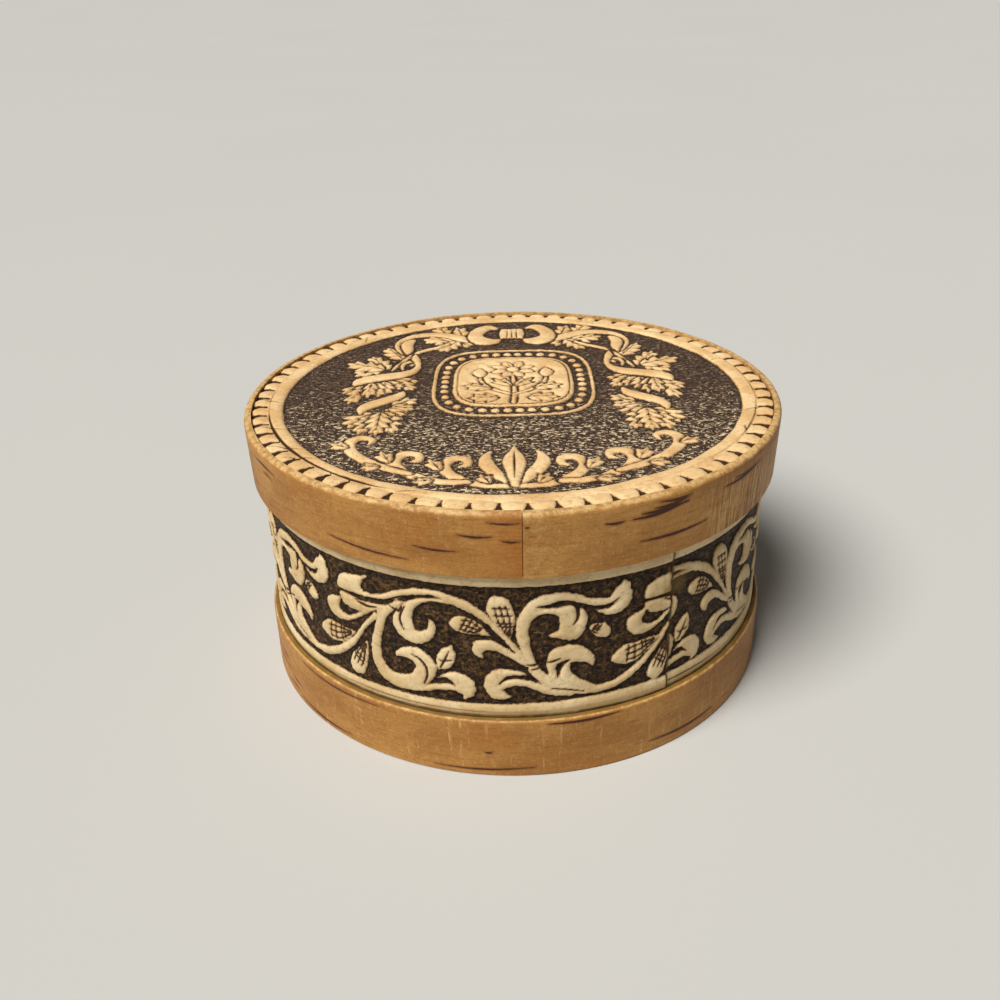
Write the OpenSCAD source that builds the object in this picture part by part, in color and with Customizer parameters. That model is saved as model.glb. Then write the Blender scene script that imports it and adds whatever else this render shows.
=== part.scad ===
/* [Overall size] */
// Outer diameter of the lid, over its rim hoop
lid_d = 110; // [80:1:180]
// Height of the closed box
box_h = 56.5; // [42:0.5:140]

/* [Lid] */
// Height of the rim hoop, which is the lid's skirt
rim_hoop_h = 12.8; // [11:0.1:22]
// Thickness of the rim hoop's bark strip
rim_hoop_t = 1.5; // [1.2:0.1:2.4]
// How much the rim hoop's outer face draws in towards its lower edge
rim_draw_in = 0.4; // [0:0.1:0.6]
// How far the rim hoop's sanded lip stands over the top panel
rim_lip_h = 0.3; // [0.1:0.05:0.8]
// Radius of the lip's rounded outer edge
rim_lip_round = 0.9; // [0.3:0.1:1]
// Thickness of the embossed top panel, over its raised borders
top_panel_t = 1.4; // [1:0.1:2.5]
// Depth of the embossed ground below the raised borders
top_relief = 0.6; // [0.2:0.1:0.8]
// Width of the notched rope border at the panel's edge
rope_w = 3.3; // [2:0.1:6]
// Number of notches round the rope border
notch_n = 69; // [40:1:100]
// How far the notches at the sides are spread away from the front, in degrees
notch_spread = 3.2; // [0:0.1:4]
// Width of a notch at the panel's edge
notch_w = 1.4; // [0.6:0.1:2]
// Plain strip left between a notch's point and the incised line
notch_inset = 0.5; // [0.2:0.1:1.5]
// Width of the incised line between the two borders
groove_w = 0.4; // [0.2:0.1:1]
// Width of the plain raised border inside the line
plain_border_w = 2.6; // [1:0.1:6]
// Thickness of the wooden board under the top panel
lid_board_t = 3; // [2:0.1:6]
// Thickness of the lining under the lid board
lid_lining_t = 0.6; // [0.4:0.1:1.5]

/* [Wall] */
// How far the embossed band lies inside the lid's outer face
band_inset = 2.1; // [2:0.1:3]
// Thickness of the embossed band, over its raised borders
band_t = 1.5; // [1.2:0.1:3]
// Depth of the band's embossed ground below its borders
band_relief = 0.6; // [0.2:0.1:0.7]
// Width of the band's plain border lines, top and bottom
band_border_w = 2.8; // [1:0.1:5]
// Height of the base hoop
base_hoop_h = 13; // [6:0.1:18]
// Thickness of the base hoop's bark strip
base_hoop_t = 1.2; // [0.8:0.1:2.5]
// Thickness of the inner wall
inner_wall_t = 1.8; // [1.2:0.1:3]
// Thickness of the wooden bottom board
bottom_board_t = 3; // [2:0.1:6]
// Thickness of the lining on the bottom board
bottom_lining_t = 0.8; // [0.4:0.1:1.5]

/* [Lap seams] */
// Length over which the two ends of a wound strip lie on each other
lap_l = 13; // [8:0.5:16]
// Height of the step at a strip's free end
lap_step = 0.35; // [0.1:0.05:0.4]
// Angle over which a free end settles down to the round
lap_rise = 24; // [18:1:40]
// Seam of the rim hoop, turned from the front towards the right
rim_hoop_seam = 2; // [-170:1:170]
// Seam of the lid's inner ring
inner_ring_seam = 115; // [-170:1:170]
// Seam of the embossed band
band_seam = 32; // [-170:1:170]
// Seam of the base hoop
base_hoop_seam = -150; // [-170:1:170]
// Seam of the inner wall, on its inner face
inner_wall_seam = 160; // [-170:1:170]

/* [Fits] */
// Radial clearance between the neck and the lid's inner ring
neck_clear = 0.3; // [0.1:0.05:0.5]
// Height left between the top of the neck and the lid's lining
neck_top_clear = 0.5; // [0.3:0.1:1]
// Glue line between two layers of bark
glue = 0.05; // [0.02:0.01:0.1]
// Open line between the two ends of a lap
lap_gap = 0.12; // [0.08:0.01:0.2]
// Softened edge of a cut strip
edge_ease = 0.3; // [0.1:0.05:0.5]

/* [Hidden] */
$fn = 160;
over = 1;

// Radii, from the outside of the lid inwards
lid_r = lid_d / 2;
rim_bore_r = lid_r - rim_hoop_t;
panel_r = rim_bore_r - glue;
band_r = lid_r - band_inset;
base_hoop_bore_r = band_r + glue;
base_hoop_r = base_hoop_bore_r + base_hoop_t;
neck_r = band_r - band_t - glue;
bore_r = neck_r - inner_wall_t;
inner_ring_bore_r = neck_r + neck_clear;
bottom_disc_r = bore_r - lap_step - glue;

// Heights. The lid's inner ring rests on the band's upper edge
lid_z = box_h - rim_hoop_h;
panel_top_z = box_h - rim_lip_h;
panel_z = panel_top_z - top_panel_t;
lid_board_z = panel_z - lid_board_t;
lid_lining_z = lid_board_z - lid_lining_t;
neck_z = lid_lining_z - neck_top_clear;

bark = "#c08a50";
embossed_bark = "#cdb488";
inner_bark = "#c79a66";
pale_wood = "#dcc295";

// Section of a strip of bark standing on edge. Its upper outer corner is rounded, the lower
// one is cut off, and its outer face may draw in towards the lower edge
module strip_section(r_in, r_out, z_low, z_high, cut_low, round_high, draw_in = 0) {
    low_r = r_out - draw_in;
    polygon([[r_in, z_low], [low_r - cut_low, z_low], [low_r, z_low + cut_low],
             [r_out, z_high - round_high], [r_out - round_high, z_high - round_high],
             [r_out - round_high, z_high], [r_in, z_high]]);
    intersection() {
        translate([r_out - round_high, z_high - round_high]) circle(round_high, $fn = 32);
        translate([r_out - round_high, z_high - round_high]) square(round_high);
    }
}

// Turns a strip from its own frame, where the seam is at the front and the free end comes
// from the right, to its place. side is -1 where the free end comes from the left
module at_seam(seam, side) {
    rotate(seam) mirror([side < 0 ? 1 : 0, 0, 0]) children();
}

// Direction from the centre to a place on the round, turned from the front to the right
function round_dir(turned) = [sin(turned), -cos(turned)];

// Wedge that holds a strip's free end, from the seam to where it has settled
module lap_wedge(r_out, z_high) {
    far = (r_out + 2 * over) / cos(lap_rise / 2);
    translate([0, 0, -over])
        linear_extrude(z_high + 2 * over)
            polygon([[0, 0], far * round_dir(0), far * round_dir(lap_rise)]);
}

// Open line between the two ends of a strip. It cuts straight in at the seam as far as
// open_r, and then runs slanting to shut_r on the strip's other face
module lap_line(open_r, shut_r, z_high) {
    start = open_r * round_dir(0);
    run = shut_r * round_dir(lap_l / shut_r * 180 / PI) - start;
    translate([0, start[1], -over]) {
        rotate(atan2(run[1], run[0]))
            translate([0, -lap_gap / 2, 0])
                cube([norm(run) + 4 * over, lap_gap, z_high + 2 * over]);
        translate([-lap_gap / 2, open_r > shut_r ? -2 * over : 0, 0])
            cube([lap_gap, 2 * over, z_high + 2 * over]);
    }
}

// Room inside a strip
module bore(r, z_high) {
    translate([0, 0, -over]) cylinder(h = z_high + 2 * over, r = r);
}

// A strip wound into a round, with lapped ends. The children are its section, drawn wider
// than the strip on the bore side. The free end rises along an off-centre arc that leaves
// the round without a corner, by step on the outer face, or on the inner one where step is
// negative. open_r is where the line between the ends starts
module wound_strip(r_in, r_out, z_high, step, open_r) {
    off_centre = step / (1 - cos(lap_rise));
    outer_off = max(off_centre, 0);
    inner_off = min(off_centre, 0);
    settled = round_dir(lap_rise);
    difference() {
        union() {
            difference() {
                rotate_extrude() children();
                bore(r_in, z_high);
                lap_wedge(r_out, z_high);
            }
            intersection() {
                difference() {
                    translate(-outer_off * settled)
                        rotate_extrude() translate([outer_off, 0]) children();
                    translate(-inner_off * settled) bore(r_in + inner_off, z_high);
                }
                lap_wedge(r_out, z_high);
            }
        }
        lap_line(open_r, step < 0 ? r_out : r_in, z_high);
    }
}

// A strip whose ends are pared flush on both faces
module flush_strip(r_in, r_out, z_high) {
    difference() {
        rotate_extrude() children();
        lap_line(r_out, r_in, z_high);
    }
}

// Round wooden board in the bottom of the inner wall, flush underneath
module bottom_board() {
    color(pale_wood)
        cylinder(h = bottom_board_t, r = bottom_disc_r);
}

// Disc of bark glued on the bottom board
module bottom_lining() {
    color(inner_bark)
        translate([0, 0, bottom_board_t])
            cylinder(h = bottom_lining_t, r = bottom_disc_r);
}

// Inner tube of bark. Its upper end is the neck that the lid fits on
module inner_wall() {
    color(inner_bark)
        at_seam(inner_wall_seam, 1)
            wound_strip(bore_r, neck_r, neck_z, -lap_step, bore_r)
                strip_section(bore_r - over, neck_r, 0, neck_z, edge_ease, inner_wall_t / 2);
}

// Section of the embossed wall over the base hoop: two raised borders, the sunk ground
// between them, and an incised line along the hoop
module band_section() {
    difference() {
        strip_section(band_r - band_t - over, band_r, base_hoop_h, lid_z, edge_ease, edge_ease);
        translate([band_r - band_relief, base_hoop_h + band_border_w])
            square([band_relief + over, lid_z - base_hoop_h - 2 * band_border_w]);
    }
}

// Outer wall of embossed bark. Its foot behind the base hoop is plain and pared flush
module embossed_band() {
    band_bore_r = band_r - band_t;
    color(embossed_bark)
        at_seam(band_seam, -1) {
            wound_strip(band_bore_r, band_r, lid_z, lap_step, band_r - band_relief)
                band_section();
            flush_strip(band_bore_r, band_r, base_hoop_h)
                translate([band_bore_r, 0]) square([band_t, base_hoop_h]);
        }
}

// Plain strip of bark round the foot of the box
module base_hoop() {
    color(bark)
        at_seam(base_hoop_seam, 1)
            wound_strip(base_hoop_bore_r, base_hoop_r, base_hoop_h, lap_step, base_hoop_r)
                strip_section(base_hoop_bore_r - over, base_hoop_r, 0, base_hoop_h, edge_ease,
                              base_hoop_t / 2);
}

// Section of the lid's top panel: a crowned rope border, an incised line, a plain raised
// border and the sunk ground
module panel_section() {
    rope_in_r = panel_r - rope_w;
    ground_r = rope_in_r - groove_w - plain_border_w;
    crown = top_relief / 2;
    crown_r = (rope_w * rope_w / 4 + crown * crown) / (2 * crown);
    translate([0, panel_z]) square([panel_r, top_panel_t - top_relief]);
    translate([ground_r, panel_z]) square([plain_border_w, top_panel_t]);
    intersection() {
        translate([rope_in_r, panel_z]) square([rope_w, top_panel_t]);
        translate([rope_in_r + rope_w / 2, panel_top_z - crown_r]) circle(crown_r, $fn = 240);
    }
}

// Wedge-shaped notch of the rope border, pointing to the centre
module rope_notch() {
    translate([0, 0, panel_top_z - top_relief])
        linear_extrude(top_relief + over)
            polygon([[panel_r - rope_w + notch_inset, 0], [panel_r, notch_w / 2],
                     [panel_r + over, notch_w / 2], [panel_r + over, -notch_w / 2],
                     [panel_r, -notch_w / 2]]);
}

// Disc of embossed bark, set into the rim hoop
module lid_top_panel() {
    color(embossed_bark)
        difference() {
            rotate_extrude() panel_section();
            for (i = [0 : notch_n - 1])
                let (a = 360 / notch_n * (i + 0.5))
                    rotate(a + notch_spread * sin(a) - 90) rope_notch();
        }
}

// Round wooden board that stiffens the lid
module lid_board() {
    color(pale_wood)
        translate([0, 0, lid_board_z])
            cylinder(h = lid_board_t, r = panel_r);
}

// Disc of bark glued under the lid board, inside the inner ring
module lid_lining() {
    color(inner_bark)
        translate([0, 0, lid_lining_z])
            cylinder(h = lid_lining_t, r = inner_ring_bore_r - glue);
}

// Ring of bark in the rim hoop. Its bore centres the lid on the neck, and its lower edge
// rests on the band
module lid_inner_ring() {
    color(inner_bark)
        at_seam(inner_ring_seam, 1) flush_strip(inner_ring_bore_r, panel_r, box_h)
            translate([inner_ring_bore_r, lid_z])
                square([panel_r - inner_ring_bore_r, lid_board_z - lid_z]);
}

// Plain strip of bark round the lid, with a rounded lip
module lid_rim_hoop() {
    color(bark)
        at_seam(rim_hoop_seam, 1)
            wound_strip(rim_bore_r, lid_r, box_h, lap_step, lid_r)
                strip_section(rim_bore_r - over, lid_r, lid_z, box_h, edge_ease,
                              rim_lip_round, rim_draw_in);
}

bottom_board();
bottom_lining();
inner_wall();
embossed_band();
base_hoop();
lid_top_panel();
lid_board();
lid_lining();
lid_inner_ring();
lid_rim_hoop();
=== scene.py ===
import math
from types import SimpleNamespace

import bpy
import numpy as np
from mathutils import Matrix, Vector


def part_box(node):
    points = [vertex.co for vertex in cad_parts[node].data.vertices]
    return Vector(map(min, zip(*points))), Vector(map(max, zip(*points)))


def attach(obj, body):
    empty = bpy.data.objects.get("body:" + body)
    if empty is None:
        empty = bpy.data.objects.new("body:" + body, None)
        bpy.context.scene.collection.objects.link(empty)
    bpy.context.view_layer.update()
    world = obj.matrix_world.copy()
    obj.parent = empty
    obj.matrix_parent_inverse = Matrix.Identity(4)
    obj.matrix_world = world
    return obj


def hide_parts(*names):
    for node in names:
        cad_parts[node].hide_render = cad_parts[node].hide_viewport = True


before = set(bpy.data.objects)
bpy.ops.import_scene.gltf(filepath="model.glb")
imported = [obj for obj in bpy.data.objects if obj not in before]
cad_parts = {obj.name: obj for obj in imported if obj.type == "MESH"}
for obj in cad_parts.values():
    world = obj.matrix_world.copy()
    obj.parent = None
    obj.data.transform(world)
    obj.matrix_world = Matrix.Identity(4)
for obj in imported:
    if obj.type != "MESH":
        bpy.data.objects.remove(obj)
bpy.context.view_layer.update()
mm = 0.001  # all sizes below are in millimetres, and the meshes are in metres
turn = 2 * math.pi
offShape = -3.0  # depth on a drawing sheet where there is no shape
raisedReach = 2.0  # how far round a raised shape its depth is worked out


def smooth(t):
    t = np.clip(t, 0, 1)
    return t * t * (3 - 2 * t)


def softNoise(a, b, cell, seed):
    # smooth random hills over a plane, from -0.5 to 0.5, one hill per cell
    size = 256
    table = np.random.default_rng(seed).random((size, size))
    a, b = np.asarray(a) / cell, np.asarray(b) / cell
    i, j = np.floor(a).astype(int), np.floor(b).astype(int)
    s, t = smooth(a - i), smooth(b - j)

    def at(di, dj):
        return table[(i + di) % size, (j + dj) % size]

    low = at(0, 0) * (1 - s) + at(1, 0) * s
    high = at(0, 1) * (1 - s) + at(1, 1) * s
    return low * (1 - t) + high * t - 0.5


def drawnThrough(points, step=0.7):
    # a smooth curve through the points, as rows of x, y, half width
    p = np.array(points, float)
    p = np.vstack([2 * p[0] - p[1], p, 2 * p[-1] - p[-2]])
    rows = []
    for a, b, c, d in zip(p, p[1:], p[2:], p[3:]):
        count = max(2, int(np.hypot(*(c - b)[:2]) / step))
        t = (np.arange(count) / count)[:, None]
        rows.append(0.5 * (2 * b + (c - a) * t + (2 * a - 5 * b + 4 * c - d) * t ** 2
                           + (3 * b - a - 3 * c + d) * t ** 3))
    rows.append(p[-2:-1])
    return np.vstack(rows)


def newSheet(left, right, low, high, cell):
    # a flat drawing sheet. "edge" is how deep a place lies inside the raised ornament,
    # "cut" how deep inside a cut line, both below zero outside
    xs = np.arange(left, right + cell, cell)
    ys = np.arange(low, high + cell, cell)
    fields = {key: np.full((len(ys), len(xs)), offShape) for key in ("edge", "cut")}
    return dict(fields, xs=xs, ys=ys, cell=cell)


def window(sheet, points, far=0):
    # the part of the sheet round a shape, so that a small shape costs little
    low, high = np.min(points, 0) - far, np.max(points, 0) + far
    lines = sheet["xs"], sheet["ys"]
    i, j = (slice(*np.searchsorted(line, (low[k], high[k]))) for k, line in enumerate(lines))
    return (j, i), np.meshgrid(sheet["xs"][i], sheet["ys"][j])


def fromLine(x, y, a, b):
    # share of the way from a to b of the nearest point, and the distance to it
    along = (b - a)[:2]
    length = max(along[0] ** 2 + along[1] ** 2, 1e-9)
    t = np.clip(((x - a[0]) * along[0] + (y - a[1]) * along[1]) / length, 0, 1)
    return t, np.hypot(x - a[0] - t * along[0], y - a[1] - t * along[1])


def strokeDepth(sheet, points, reach):
    path = drawnThrough(points)
    part, (x, y) = window(sheet, path, path[:, 2].max() + reach)
    depth = np.full(x.shape, offShape)
    for a, b in zip(path, path[1:]):
        t, away = fromLine(x, y, a, b)
        depth = np.maximum(depth, a[2] + t * (b - a)[2] - away)
    return part, depth


def outlineDepth(sheet, outline):
    p = np.array(outline, float)
    part, (x, y) = window(sheet, p, raisedReach)
    near = np.full(x.shape, np.inf)
    inside = np.zeros(x.shape, bool)
    for a, b in zip(p, np.roll(p, -1, 0)):
        near = np.minimum(near, fromLine(x, y, a, b)[1])
        if a[1] != b[1]:
            inside ^= ((a[1] > y) != (b[1] > y)) & (x < a[0] + (y - a[1]) / (b[1] - a[1]) * (b - a)[0])
    return part, np.where(inside, near, -near)


def raiseShape(sheet, shape, gap=0):
    # adds a raised shape. With a gap it lies on what is there, cut off by a dark line
    part, depth = shape
    under = sheet["edge"][part]
    if gap:
        under = np.minimum(under, -depth - gap)
        sheet["cut"][part] = np.where(depth > 0, offShape, sheet["cut"][part])
    sheet["edge"][part] = np.maximum(under, depth)


def cutShape(sheet, shape):
    part, depth = shape
    sheet["cut"][part] = np.maximum(sheet["cut"][part], depth)


def raiseStroke(sheet, points, gap=0):
    raiseShape(sheet, strokeDepth(sheet, points, raisedReach), gap)


def raiseDot(sheet, x, y, half, gap=0):
    raiseStroke(sheet, [(x, y, half), (x + 0.01, y, half)], gap)


def cutStroke(sheet, points, reach):
    cutShape(sheet, strokeDepth(sheet, points, reach))


def ladder(sheet, spine, rungs):
    # cut lines of a seed head: three long ones along the spine, and rungs across
    path = drawnThrough(spine)
    along = np.gradient(path[:, :2], axis=0)
    across = np.stack([-along[:, 1], along[:, 0]], 1) / np.hypot(*along.T)[:, None]
    reach = 1.25 * path[:, 2:3] * across
    for side in (-0.85, -0.05, 0.75):
        line = path[:, :2] + side * path[:, 2:3] * across
        cutStroke(sheet, [(x, y, 0.13) for x, y in line[:: max(1, len(line) // 6)]], 0.8)
    for k in range(rungs):
        at = int((k + 0.6) / rungs * (len(path) - 1))
        ahead = int(min(len(path) - 1, at + 1.1))
        (x0, y0), (x1, y1) = path[at, :2] - reach[at], path[ahead, :2] + reach[ahead]
        cutStroke(sheet, [(x0, y0, 0.1), ((x0 + x1) / 2, (y0 + y1) / 2, 0.15), (x1, y1, 0.1)], 0.8)


def readSheet(sheet, x, y):
    # edge and cut at any places, between the sheet's cells
    i = np.clip((x - sheet["xs"][0]) / sheet["cell"], 0, len(sheet["xs"]) - 1.001)
    j = np.clip((y - sheet["ys"][0]) / sheet["cell"], 0, len(sheet["ys"]) - 1.001)
    i0, j0 = i.astype(int), j.astype(int)
    s, t = i - i0, j - j0
    return [(f[j0, i0] * (1 - s) + f[j0, i0 + 1] * s) * (1 - t)
            + (f[j0 + 1, i0] * (1 - s) + f[j0 + 1, i0 + 1] * s) * t for f in (sheet["edge"], sheet["cut"])]


def carvedHeight(edge, cut):
    # from 0 on the ground to 1 on a plateau, with a pillowed edge, less the cut lines
    swell = 0.7 * smooth((edge + 0.16) / 0.45) + 0.3 * smooth(edge / 1.2)
    return swell * (1 - 0.6 * smooth((cut + 0.08) / 0.25))


def addObject(name, data):
    thing = bpy.data.objects.new(name, data)
    bpy.context.scene.collection.objects.link(thing)
    return thing


def addMesh(name, points, faces, finish):
    # points in metres, and faces as the numbers of their points
    mesh = bpy.data.meshes.new(name)
    mesh.from_pydata(points, [], faces)
    mesh.materials.append(finish)
    return addObject(name, mesh)


def newPiece(name, points, faces, finish, sharp=None, flat=None, **marks):
    # sharp is the angle from which an edge is shaded sharp, flat the first face that isn't
    # shaded smooth, marks are values at the points for the finish
    piece = addMesh(name, (points.reshape(-1, 3) * mm).tolist(), faces, finish)
    mesh = piece.data
    rounded = len(faces) if flat is None else flat
    mesh.polygons.foreach_set("use_smooth", [i < rounded for i in range(len(mesh.polygons))])
    for key, values in marks.items():
        kind, field = ("FLOAT_VECTOR", "vector") if key == "bark" else ("FLOAT", "value")
        mesh.attributes.new(key, kind, "POINT").data.foreach_set(field, values.astype(np.float32).ravel())
    if sharp:
        mesh.set_sharp_from_angle(angle=math.radians(sharp))
    mesh.update()
    return piece


def joinFrame(piece, body, nodes):
    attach(piece, body)
    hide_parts(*nodes)


def gridFaces(rows, columns):
    i, j = np.meshgrid(np.arange(rows - 1), np.arange(columns - 1), indexing="ij")
    a = (i * columns + j).ravel()
    return np.stack([a, a + 1, a + columns + 1, a + columns], 1).tolist()


def closingFaces(rows, columns):
    # joins a strip's last row to its first, and caps its two cut ends
    last = (rows - 1) * columns
    joined = [[last + j, last + j + 1, j + 1, j] for j in range(columns - 1)]
    start = [i * columns for i in range(rows)]
    return joined + [start[::-1], [i + columns - 1 for i in start]]


def place(angle, radius, z):
    # a point from its turn from the front to the right, in degrees, its radius and height
    a = np.radians(angle)
    return np.stack([radius * np.sin(a), -radius * np.cos(a), z + 0 * radius], -1)


def tone(red, green, blue):
    # a colour given as it looks on screen, 0 to 255
    return tuple(((c / 255 + 0.055) / 1.055) ** 2.4 if c > 10 else c / 255 / 12.92
                 for c in (red, green, blue)) + (1.0,)


def putNode(tree, kind, inputs=None, **settings):
    node = tree.nodes.new("ShaderNode" + kind)
    for key, value in settings.items():
        setattr(node, key, value)
    for key, value in (inputs or {}).items():
        if isinstance(value, bpy.types.NodeSocket):
            tree.links.new(value, node.inputs[key])
        else:
            node.inputs[key].default_value = value
    return node


def newFinish(name, look):
    # a material, and tools that add nodes to it. look holds its colours by name
    finish = bpy.data.materials.new(name)
    finish.use_nodes = True
    tree = finish.node_tree
    shader = tree.nodes["Principled BSDF"]
    t = SimpleNamespace()

    def put(kind, inputs=None, **settings):
        return putNode(tree, kind, inputs, **settings)

    def calc(operation, a, b):
        return put("Math", {0: a, 1: b}, operation=operation).outputs[0]

    def mix(share, a, b):
        return put("Mix", {0: share, 6: a, 7: b}, data_type="RGBA").outputs[2]

    def bump(height, strength, distance, before=None):
        inputs = {"Height": height, "Strength": strength, "Distance": distance}
        if before is not None:
            inputs["Normal"] = before
        return put("Bump", inputs).outputs[0]

    def layered(colour, *layers):
        # each layer is its share and the name of its colour
        for share, key in layers:
            colour = mix(share, colour, tone(*look[key]))
        return colour

    def finishWith(colour, roughness, normal, gloss):
        shader.inputs["Specular IOR Level"].default_value = gloss
        for socket, value in (("Base Color", colour), ("Roughness", roughness), ("Normal", normal)):
            tree.links.new(value, shader.inputs[socket])

    t.put, t.mix, t.bump, t.layered, t.finishWith = put, mix, bump, layered, finishWith
    t.mark = lambda key, output="Fac": put("Attribute", attribute_name=key).outputs[output]
    t.onPiece = lambda: put("TexCoord").outputs["Object"]
    t.between = lambda share, key, other: mix(share, tone(*look[key]), tone(*look[other]))
    t.plus = lambda a, b: calc("ADD", a, b)
    t.minus = lambda a, b: calc("SUBTRACT", a, b)
    t.times = lambda a, b: calc("MULTIPLY", a, b)
    t.ramp = lambda value, low, high, toLow=0, toHigh=1: put(
        "MapRange", {0: value, 1: low, 2: high, 3: toLow, 4: toHigh},
        interpolation_type="SMOOTHSTEP").outputs[0]
    t.noise = lambda where, scale, detail=3, roughness=0.55, distortion=0: put("TexNoise", {
        "Vector": where, "Scale": scale, "Detail": detail, "Roughness": roughness,
        "Distortion": distortion}).outputs[0]
    t.stretched = lambda where, x, y, z=1, turned=0: put("Mapping", {
        "Vector": where, "Scale": (x, y, z), "Rotation": (0, 0, math.radians(turned))}).outputs[0]
    t.grain = lambda where, x, y, *noise: t.noise(t.stretched(where, x, y), 1, *noise)
    return finish, t


plainBark = {
    "light": (174, 126, 64), "dark": (152, 103, 46), "warm": (164, 104, 42), "worn": (222, 186, 128),
    "streak": (122, 77, 34), "lenticel": (64, 30, 10), "halo": (126, 72, 28), "glue": (150, 84, 22),
}


def barkFinish(name, look, upright):
    finish, t = newFinish(name, look)
    where = t.mark("bark", "Vector")
    patches = t.ramp(t.grain(where, 0.05, 0.1, 4), 0.34, 0.66)
    warm = t.ramp(t.noise(t.stretched(where, 0.03, 0.07), 1.7, 3, 0.6, 0.4), 0.5, 0.7)
    mottle = t.noise(where, 0.9, 5, 0.7)
    fibres = t.grain(where, 0.16, 2.2, 5, 0.65)
    streaks = t.ramp(t.grain(where, 0.9, 0.06, 5, 0.75), 0.54, 0.72, 0, upright * 2)
    broken = t.ramp(t.grain(where, 0.3, 0.25, 2), 0.4, 0.6)
    combed = t.grain(where, 1.7, 0.12, 3, 0.7)
    slanted = t.noise(t.stretched(where, 0.12, 0.6, 1, 16), 1, 3, 0.6)
    specks = t.noise(where, 2.6, 2, 0.5)
    rub = t.times(t.mark("rub"), t.ramp(mottle, 0.34, 0.62, 1.1, 0.45))
    tint = t.times(t.mark("tint"), t.ramp(t.noise(where, 0.3), 0.3, 0.6, 0.45, 1))
    ragged = t.times(t.minus(t.grain(where, 1.2, 4, 3, 0.7), 0.5), 0.24)
    lenticel = t.plus(t.plus(t.mark("mark"), ragged), 0.03)
    dark = t.ramp(lenticel, -0.06, 0.14)
    colour = t.layered(
        t.between(patches, "dark", "light"),
        (t.times(warm, 0.6), "warm"),
        # a soft mottle, fine fibres along the strip, faint pale streaks across it
        (t.ramp(mottle, 0.5, 0.68, 0, 0.3), "streak"),
        (t.ramp(mottle, 0.46, 0.32, 0, 0.16), "worn"),
        (t.ramp(fibres, 0.5, 0.72, 0, 0.45), "streak"),
        (t.times(streaks, broken), "worn"),
        # pale and dark scratches where the hoop was scraped upright
        (t.times(t.mark("comb"), t.ramp(combed, 0.48, 0.62, 0, 0.5)), "worn"),
        (t.times(t.mark("comb"), t.ramp(combed, 0.5, 0.36, 0, 0.5)), "streak"),
        (t.ramp(slanted, 0.56, 0.75, 0, 0.35), "streak"),
        (t.ramp(specks, 0.58, 0.7, 0, 0.42), "streak"),
        (t.ramp(specks, 0.4, 0.26, 0, 0.22), "worn"),
        # the lip rubbed pale, the seams' glue tint (inside the base hoop's top also painted shade), and the
        # lenticels
        (t.ramp(rub, 0.1, 1, 0, 0.8), "worn"),
        (tint, "glue"),
        (t.ramp(lenticel, -0.5, 0, 0, 0.5), "halo"),
        (dark, "lenticel"))
    normal = t.bump(t.plus(t.times(fibres, 0.5), t.times(mottle, 0.7)), 0.7, 0.0002)
    normal = t.bump(t.times(dark, -1), 0.7, 0.00015, normal)
    t.finishWith(colour, t.ramp(fibres, 0.3, 0.75, 0.48, 0.69), normal, 0.25)
    return finish


# where a strip laps over itself: how proud its free end stands, the turn in degrees over
# which it settles, and the open line beside it
lap = {"step": 0.31, "rise": 24, "gap": 0.12}


def lapRise(turned):
    # how far the strip stands proud, by the turn from its free end in degrees
    turned = turned % 360
    full = math.radians(lap["rise"])
    offCentre = lap["step"] / (1 - math.cos(full))
    left = full - np.radians(np.minimum(turned, lap["rise"]))
    return np.where(turned < lap["rise"], offCentre * (1 - np.cos(left)), 0)


def stripSection(look, low, high):
    # closed section of a strip, from its bore's top down, under, and up the outer face:
    # rows of radius, height, and share of the seam's step that the row takes
    rIn, rOut, cut, roundOff = look["rIn"], look["rOut"], look["cut"], look["round"]
    drawIn, stepOuter = look.get("drawIn", 0.0), look.get("stepOuter", 1.0)
    rows = [(rIn, z, look.get("stepInner", 0.0)) for z in np.linspace(high, low, 6)]
    rows += [(rOut - drawIn - cut, low, stepOuter), (rOut - drawIn, low + cut, stepOuter)]
    top = high - roundOff
    count = max(6, int((top - low) / look.get("spacing", 0.19)))
    for z in np.linspace(low + cut, top, count)[1:]:
        rows.append((rOut - drawIn * (top - z) / (top - low - cut), z, stepOuter))
    for k in range(1, 7):
        a = math.radians(15 * k)
        rows.append((rOut - roundOff + roundOff * math.cos(a), top + roundOff * math.sin(a), stepOuter))
    return np.array(rows, float)


def stripMarks(look, along, radius, high):
    # where the lenticels are: those drawn, and others scattered round the rest of the strip
    perDegree = math.radians(look["rOut"])  # mm round the strip
    lowZ, topZ = look["ends"]
    flatHalf, reach = 185, 2.0  # half a strip's length with some room, and reach of a dash
    dashes = newSheet(-flatHalf, flatHalf, lowZ - 1, topZ + 1, 0.2)
    for a0, z0, a1, z1, width in look.get("lenticels", []):
        x0, x1, thin = a0 * perDegree, a1 * perDegree, 0.45 * width
        middle = ((a0 + a1) / 2 * perDegree, (z0 + z1) / 2 - 0.25, width)
        cutStroke(dashes, [(x0, z0, thin), middle, (x1, z1, thin)], reach)
    random = np.random.default_rng(look["seed"])
    for _ in range(look["scattered"]):
        a0, z0 = random.uniform(*look["scatter"]), random.uniform(lowZ + 1, topZ - 1)
        long, width = random.uniform(2, 13), random.uniform(0.1, 0.26)
        x0 = ((a0 + 180) % 360 - 180) * perDegree
        cutStroke(dashes, [(x0, z0, 0.03), (x0 + long / 2, z0 + random.uniform(-0.3, 0.3), width),
                           (x0 + long, z0 + random.uniform(-0.4, 0.4), 0.03)], reach)
    flatTurn = (look["seam"] + along + 180) % 360 - 180
    return flatTurn, readSheet(dashes, flatTurn * perDegree, high)[1]


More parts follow.
